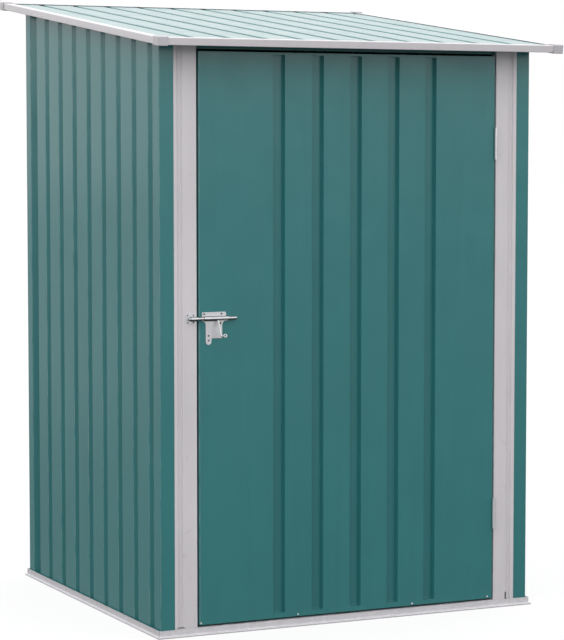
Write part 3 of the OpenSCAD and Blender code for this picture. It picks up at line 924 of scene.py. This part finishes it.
    def make_keeper(self) -> None:
        """Makes the keeper on the post: a plate with rounded corners and its strap."""
        low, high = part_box("bolt_keeper")
        self.face = high.y
        c = self.keeper_corner
        left, right, foot, head = low.x + c, high.x - c, low.z + c, high.z - c
        outline: list[Point] = []
        for i, middle in enumerate(((right, foot), (right, head), (left, head), (left, foot))):
            outline += arc(middle, c, (i - 1) * QUARTER, i * QUARTER, self.corner_steps)
        bm = bmesh.new()
        prism(bm, outline, self.on_face(), self.plate_t)
        show("bolt_keeper_plate", to_mesh(bm), ZINC, Body.SHED, ("bolt_keeper",))
        bm = bmesh.new()
        end = high.x - self.keeper_in
        self.strap(bm, end - self.keeper_strap, end)
        show("bolt_keeper_strap", to_mesh(bm), ROD, Body.SHED)

    def plate_outline(self, left: float, right: float) -> list[Point]:
        """Gives the outline of the plate with its tab and tongue.

        Args:
            left: Left end of the plate.
            right: Right end of the barrel, which the plate's foot goes under.

        Returns:
            Corners in order, in X and Z.
        """
        z, c, end, shoulder = self.rod.z, self.plate_corner, self.tongue / 2, self.shoulder
        top, foot, tab = z + self.plate_top, z - self.plate_foot, z - self.tab_drop
        head, tab_l, tab_r = left + self.flange, left + self.tab_left, left + self.tab_right
        return [
            (right, foot), (right, z), (head, z),
            *arc((head - c, top - c), c, 0, 90, 4),
            *arc((left + c, top - c), c, 90, 180, 4),
            (left, foot),
            *arc((tab_l - shoulder, foot - shoulder), shoulder, 88, 0, 8),
            *arc((tab_l + end, z - self.tongue_drop), end, 180, 360, 14),
            (tab_l + self.tongue, tab - self.step), (tab_l + self.tongue + self.step, tab),
            *arc((tab_r - c, tab + c), c, -90, 0, 4),
            *arc((tab_r + shoulder, foot - shoulder), shoulder, 180, 92, 8),
        ]

    def make_plate(self) -> None:
        """Makes the plate on the door, with its barrel open below for the handle."""
        low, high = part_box("bolt_plate")
        self.face = high.y
        bm = bmesh.new()
        prism(bm, self.plate_outline(low.x, high.x), self.on_face(), self.plate_t)
        show("bolt_plate_pressing", to_mesh(bm), ZINC, Body.DOOR, ("bolt_plate",))
        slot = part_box("bolt_handle")[0].x + self.knuckle_r - self.shank_r - self.handle_clear
        bm = bmesh.new()
        self.strap(bm, low.x + self.barrel_in, slot)
        self.strap(bm, slot, high.x, self.barrel_stop)
        show("bolt_barrel", to_mesh(bm), ROD, Body.DOOR)


# Screws ---------------------------------------------------


@dataclass
class ScrewRow:
    """Screw heads of one size on one body, set out as points by a node tree."""

    name: str
    body: Body
    places: list[Vector]
    aim: Vector
    radius: float = 2.6 * MM
    height: float = 1.5 * MM
    drive: float = 0.9 * MM
    finish: Finish = ZINC
    segments: ClassVar[int] = 20
    rings: ClassVar[int] = 12
    drive_reach: ClassVar[float] = 1.1
    block_reach: ClassVar[float] = 4.0

    def build(self) -> None:
        """Makes the row as one mesh and shows it."""
        mesh = bpy.data.meshes.new("work")
        mesh.from_pydata([tuple(p) for p in self.places], [], [])
        aims = mesh.attributes.new("aim", "FLOAT_VECTOR", "POINT")
        aims.data.foreach_set("vector", [c for _ in self.places for c in self.aim])
        work = bpy.data.objects.new("work", mesh)
        tree = self.tree()
        step = work.modifiers.new("Screws", "NODES")
        step.node_group = tree
        values = {"Head Radius": self.radius, "Head Height": self.height,
                  "Drive Width": self.drive, "Finish": self.finish.material()}
        for item in tree.interface.items_tree:
            if item.in_out == "INPUT" and item.name in values:
                step[item.identifier] = values[item.name]
        bpy.context.scene.collection.objects.link(work)
        graph = bpy.context.evaluated_depsgraph_get()
        result = bpy.data.meshes.new_from_object(work.evaluated_get(graph))
        bpy.data.objects.remove(work)
        show(self.name, result, self.finish, self.body, sharp=50.0)

    @classmethod
    def tree(cls) -> bpy.types.GeometryNodeTree:
        """Builds the node tree, once.

        A head is the upper half of a flattened ball. A block takes the lower half away, and two
        bars sink the cross: block_reach and drive_reach give their lengths in radii of the head.

        Returns:
            A tree that puts a domed head with a cross drive on each point.
        """
        tree = bpy.data.node_groups.get("Screw heads")
        if tree is not None:
            return tree
        tree = bpy.data.node_groups.new("Screw heads", "GeometryNodeTree")
        tree.interface.new_socket("Geometry", in_out="INPUT", socket_type="NodeSocketGeometry")
        for name in ("Head Radius", "Head Height", "Drive Width"):
            tree.interface.new_socket(name, in_out="INPUT", socket_type="NodeSocketFloat")
        tree.interface.new_socket("Finish", in_out="INPUT", socket_type="NodeSocketMaterial")
        tree.interface.new_socket("Geometry", in_out="OUTPUT", socket_type="NodeSocketGeometry")
        given = add(tree, "NodeGroupInput").outputs
        ball = add(tree, "GeometryNodeMeshUVSphere", {}, {
            "Segments": cls.segments, "Rings": cls.rings, "Radius": 1.0})
        size = add(tree, "ShaderNodeCombineXYZ", {}, {
            0: given["Head Radius"], 1: given["Head Radius"], 2: given["Head Height"]})
        dome = add(tree, "GeometryNodeTransform", {}, {
            "Geometry": ball.outputs[0], "Scale": size.outputs[0]})
        long = add(tree, "ShaderNodeMath", {"operation": "MULTIPLY"}, {
            0: given["Head Radius"], 1: cls.drive_reach})
        lift = add(tree, "ShaderNodeCombineXYZ", {}, {2: given["Head Height"]})
        tools = []
        for along in ((long.outputs[0], given["Drive Width"]), (given["Drive Width"], long.outputs[0])):
            sizes = add(tree, "ShaderNodeCombineXYZ", {}, {
                0: along[0], 1: along[1], 2: given["Head Height"]})
            bar = add(tree, "GeometryNodeMeshCube", {}, {"Size": sizes.outputs[0]})
            tools.append(add(tree, "GeometryNodeTransform", {}, {
                "Geometry": bar.outputs[0], "Translation": lift.outputs[0]}).outputs[0])
        wide = add(tree, "ShaderNodeMath", {"operation": "MULTIPLY"}, {
            0: given["Head Radius"], 1: cls.block_reach})
        block = add(tree, "ShaderNodeCombineXYZ", {}, {
            0: wide.outputs[0], 1: wide.outputs[0], 2: wide.outputs[0]})
        sink = add(tree, "ShaderNodeMath", {"operation": "MULTIPLY"}, {0: wide.outputs[0], 1: -0.5})
        below = add(tree, "ShaderNodeCombineXYZ", {}, {2: sink.outputs[0]})
        cube = add(tree, "GeometryNodeMeshCube", {}, {"Size": block.outputs[0]})
        tools.append(add(tree, "GeometryNodeTransform", {}, {
            "Geometry": cube.outputs[0], "Translation": below.outputs[0]}).outputs[0])
        head = add(tree, "GeometryNodeMeshBoolean", {"operation": "DIFFERENCE", "solver": "EXACT"}, {
            "Mesh 1": dome.outputs[0]})
        for tool in tools:
            tree.links.new(tool, head.inputs["Mesh 2"])
        aim = add(tree, "GeometryNodeInputNamedAttribute", {"data_type": "FLOAT_VECTOR"}, {
            "Name": "aim"})
        turn = add(tree, "FunctionNodeAlignRotationToVector", {"axis": "Z"}, {
            "Vector": aim.outputs[0]})
        heads = add(tree, "GeometryNodeInstanceOnPoints", {}, {
            "Points": given["Geometry"], "Instance": head.outputs[0], "Rotation": turn.outputs[0]})
        real = add(tree, "GeometryNodeRealizeInstances", {}, {"Geometry": heads.outputs[0]})
        done = add(tree, "GeometryNodeSetMaterial", {}, {
            "Geometry": real.outputs[0], "Material": given["Finish"]})
        add(tree, "NodeGroupOutput", {}, {"Geometry": done.outputs[0]})
        return tree


@dataclass
class Screws:
    """All the screws that show.

    Spots on the bolt's plate are in millimetres from its left end and from the rod, and those
    along the door's foot from the wall's left side.
    """

    front: Vector = field(default_factory=lambda: Vector((0, -1, 0)))
    plate_t: float = DoorBolt.plate_t
    plate_spots_mm: tuple[Point, ...] = ((6, 11), (52, 11), (49, -12), (17.5, -42), (17.5, -54))
    keeper_left: float = 4.0 * MM
    keeper_right: float = 8.0 * MM
    keeper_in: float = 3.0 * MM
    foot_spots_mm: tuple[float, ...] = (107, 372, 697, 919)
    foot_up: float = 4.5 * MM

    def build(self) -> None:
        """Sets out the screws of the bolt and those along the door's foot."""
        plate, keeper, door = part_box("bolt_plate"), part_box("bolt_keeper"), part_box("door_skin")
        rod = (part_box("bolt_rod")[0].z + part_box("bolt_rod")[1].z) / 2
        face = plate[1].y - self.plate_t
        spots = [Vector((plate[0].x + u * MM, face, rod + v * MM)) for u, v in self.plate_spots_mm]
        ScrewRow("plate_screws", Body.DOOR, spots, self.front, radius=2.5 * MM, finish=SCREW).build()
        corners = [Vector((x, face, z))
                   for x in (keeper[0].x + self.keeper_left, keeper[1].x - self.keeper_right)
                   for z in (keeper[0].z + self.keeper_in, keeper[1].z - self.keeper_in)]
        ScrewRow("keeper_screws", Body.SHED, corners, self.front, radius=2.0 * MM,
                 height=1.2 * MM, drive=0.7 * MM, finish=SCREW).build()
        left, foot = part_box("left_wall")[0].x, door[0].z + self.foot_up
        spots = [Vector((left + x * MM, door[0].y, foot)) for x in self.foot_spots_mm]
        ScrewRow("door_foot_screws", Body.DOOR, spots, self.front, radius=2.6 * MM,
                 height=1.4 * MM).build()


# Stage ----------------------------------------------------


@dataclass
class Studio:
    """Pale floor, white surroundings, a soft lamp and the camera."""

    floor: float = 120.0
    floor_seen: float = 0.85
    floor_albedo: float = 0.2
    # What reflections see of the floor, and between which distances it changes.
    floor_near: float = 0.36
    floor_far: float = 0.55
    near: float = 1.0
    far: float = 8.0
    # Light from all round, and the heights, as the upward part of a direction, where it grows.
    horizon: float = 0.85
    sky: float = 1.5
    sky_rise: Point = (-0.02, 0.3)
    # The wall in front: its strength, and for three parts of a direction where it starts and is full.
    front_wall: float = 3.2
    wall_ahead: Point = (-0.3, -0.7)
    wall_foot: Point = (0.04, 0.12)
    wall_head: Point = (0.24, 0.16)
    # The lamp, which faces the middle of the shed.
    key_place: Place = (-3.6, -3.9, 3.0)
    key_size: float = 3.0
    key_power: float = 30.0
    middle: Place = (0.0, 0.0, 0.8)
    # The camera, with its film and lens in millimetres and its angles in degrees.
    lens: float = 133.6
    film: float = 36.0
    reach: float = 200.0
    place: Place = (-2.7108, -5.7729, 1.1982)
    yaw: float = 25.454
    pitch: float = 4.176

    def build(self) -> None:
        """Makes the floor, the world, the lamp and the camera."""
        self.lay_floor()
        self.surround()
        self.hang_lamp()
        self.set_camera()

    def lay_floor(self) -> None:
        """Lays a wide pale floor that takes the shed's shadow.

        The camera sees it nearly white and reflections see it duller near the shed. Inside the
        shed it is plain matt.
        """
        half = self.floor / 2
        mesh = bpy.data.meshes.new("Floor")
        mesh.from_pydata([(-half, -half, 0), (half, -half, 0), (half, half, 0), (-half, half, 0)], [],
                         [(0, 1, 2, 3)])
        floor = bpy.data.objects.new("Floor", mesh)
        bpy.context.scene.collection.objects.link(floor)
        made = bpy.data.materials.new("Pale studio floor")
        made.use_nodes = True
        tree = made.node_tree
        tree.nodes.clear()
        path = add(tree, "ShaderNodeLightPath").outputs
        place = add(tree, "ShaderNodeTexCoord").outputs["Object"]
        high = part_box("right_wall")[1]
        parts = add(tree, "ShaderNodeSeparateXYZ", {}, {0: place}).outputs
        within = []
        for axis, edge in (("X", high.x), ("Y", high.y)):
            away = add(tree, "ShaderNodeMath", {"operation": "ABSOLUTE"}, {0: parts[axis]})
            within.append(add(tree, "ShaderNodeMath", {"operation": "LESS_THAN"}, {
                0: away.outputs[0], 1: edge}).outputs[0])
        inside = add(tree, "ShaderNodeMath", {"operation": "MULTIPLY"}, {0: within[0], 1: within[1]})
        outside = add(tree, "ShaderNodeMath", {"operation": "SUBTRACT"}, {0: 1.0, 1: inside.outputs[0]})
        share = add(tree, "ShaderNodeMath", {"operation": "MULTIPLY"}, {
            0: outside.outputs[0], 1: self.floor_seen})
        pale = add(tree, "ShaderNodeBsdfDiffuse", {}, {"Color": linear("#f0f0f0")})
        dull = add(tree, "ShaderNodeBsdfDiffuse", {}, {"Color": (*[self.floor_albedo] * 3, 1.0)})
        glow = add(tree, "ShaderNodeEmission", {}, {"Color": linear("#ffffff")})
        seen = add(tree, "ShaderNodeMixShader", {}, {
            0: share.outputs[0], 1: pale.outputs[0], 2: glow.outputs[0]})
        away = add(tree, "ShaderNodeVectorMath", {"operation": "LENGTH"}, {0: place})
        level = add(tree, "ShaderNodeMapRange", {"interpolation_type": "SMOOTHSTEP"}, {
            "Value": away.outputs["Value"], "From Min": self.near, "From Max": self.far,
            "To Min": self.floor_near, "To Max": self.floor_far})
        sheen = add(tree, "ShaderNodeEmission", {}, {
            "Color": linear("#ffffff"), "Strength": level.outputs[0]})
        glossy = add(tree, "ShaderNodeMath", {"operation": "MULTIPLY"}, {
            0: path["Is Glossy Ray"], 1: outside.outputs[0]})
        surface = add(tree, "ShaderNodeMixShader", {}, {
            0: glossy.outputs[0], 1: dull.outputs[0], 2: sheen.outputs[0]})
        surface = add(tree, "ShaderNodeMixShader", {}, {
            0: path["Is Camera Ray"], 1: surface.outputs[0], 2: seen.outputs[0]})
        add(tree, "ShaderNodeOutputMaterial", {}, {"Surface": surface.outputs[0]})
        mesh.materials.append(made)

    def surround(self) -> None:
        """Surrounds the shed with light that grows from the horizon upwards.

        Only reflections see the bright wall in front of the shed, which lightens the door's top.
        """
        world = bpy.data.worlds.new("Studio")
        bpy.context.scene.world = world
        world.use_nodes = True
        tree = world.node_tree
        tree.nodes.clear()
        path = add(tree, "ShaderNodeLightPath").outputs
        way = add(tree, "ShaderNodeTexCoord").outputs["Generated"]
        parts = add(tree, "ShaderNodeSeparateXYZ", {}, {0: way}).outputs
        up = parts["Z"]
        light = add(tree, "ShaderNodeMapRange", {"interpolation_type": "SMOOTHSTEP"}, {
            "Value": up, "From Min": self.sky_rise[0], "From Max": self.sky_rise[1],
            "To Min": self.horizon, "To Max": self.sky})
        wall = path["Is Glossy Ray"]
        for value, fade in ((parts["Y"], self.wall_ahead), (up, self.wall_foot), (up, self.wall_head)):
            share = add(tree, "ShaderNodeMapRange", {"interpolation_type": "SMOOTHSTEP"}, {
                "Value": value, "From Min": fade[0], "From Max": fade[1]})
            wall = add(tree, "ShaderNodeMath", {"operation": "MULTIPLY"}, {
                0: wall, 1: share.outputs[0]}).outputs[0]
        light = add(tree, "ShaderNodeMath", {"operation": "MULTIPLY_ADD"}, {
            0: wall, 1: self.front_wall, 2: light.outputs[0]})
        plain = add(tree, "ShaderNodeMath", {"operation": "MAXIMUM"}, {
            0: path["Is Camera Ray"], 1: path["Is Transmission Ray"]})
        level = add(tree, "ShaderNodeMix", {"data_type": "FLOAT"}, {
            0: plain.outputs[0], 2: light.outputs[0], 3: 1.0})
        sky = add(tree, "ShaderNodeBackground", {}, {
            "Color": linear("#ffffff"), "Strength": level.outputs[0]})
        add(tree, "ShaderNodeOutputWorld", {}, {"Surface": sky.outputs[0]})
        world.cycles.sampling_method = "NONE"

    def hang_lamp(self) -> None:
        """Hangs a soft square lamp that faces the middle of the shed."""
        lamp = bpy.data.lights.new("Key", "AREA")
        lamp.size = self.key_size
        lamp.energy = self.key_power
        made = bpy.data.objects.new("Key", lamp)
        made.location = self.key_place
        away = Vector(self.key_place) - Vector(self.middle)
        made.rotation_euler = away.to_track_quat("Z", "Y").to_euler()
        bpy.context.scene.collection.objects.link(made)

    def set_camera(self) -> None:
        """Sets the camera a little left of the door and a little below the roof."""
        camera = bpy.data.cameras.new("Camera")
        camera.lens = self.lens
        camera.sensor_width = self.film
        camera.clip_end = self.reach
        made = bpy.data.objects.new("Camera", camera)
        made.location = self.place
        made.rotation_euler = Euler((math.radians(90 - self.pitch), 0, math.radians(-self.yaw)))
        bpy.context.scene.collection.objects.link(made)
        bpy.context.scene.camera = made


def main() -> None:
    """Builds the stage and every piece."""
    logging.basicConfig(level=logging.INFO, format="%(name)s: %(message)s")
    bpy.context.scene.view_settings.view_transform = "Standard"
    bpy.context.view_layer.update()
    Studio().build()
    SheetWork().build()
    CornerCaps().build()
    for height in ("lower", "upper"):
        Hinge(height).build()
    DoorBolt().build()
    Screws().build()


if __name__ == "__main__":
    main()
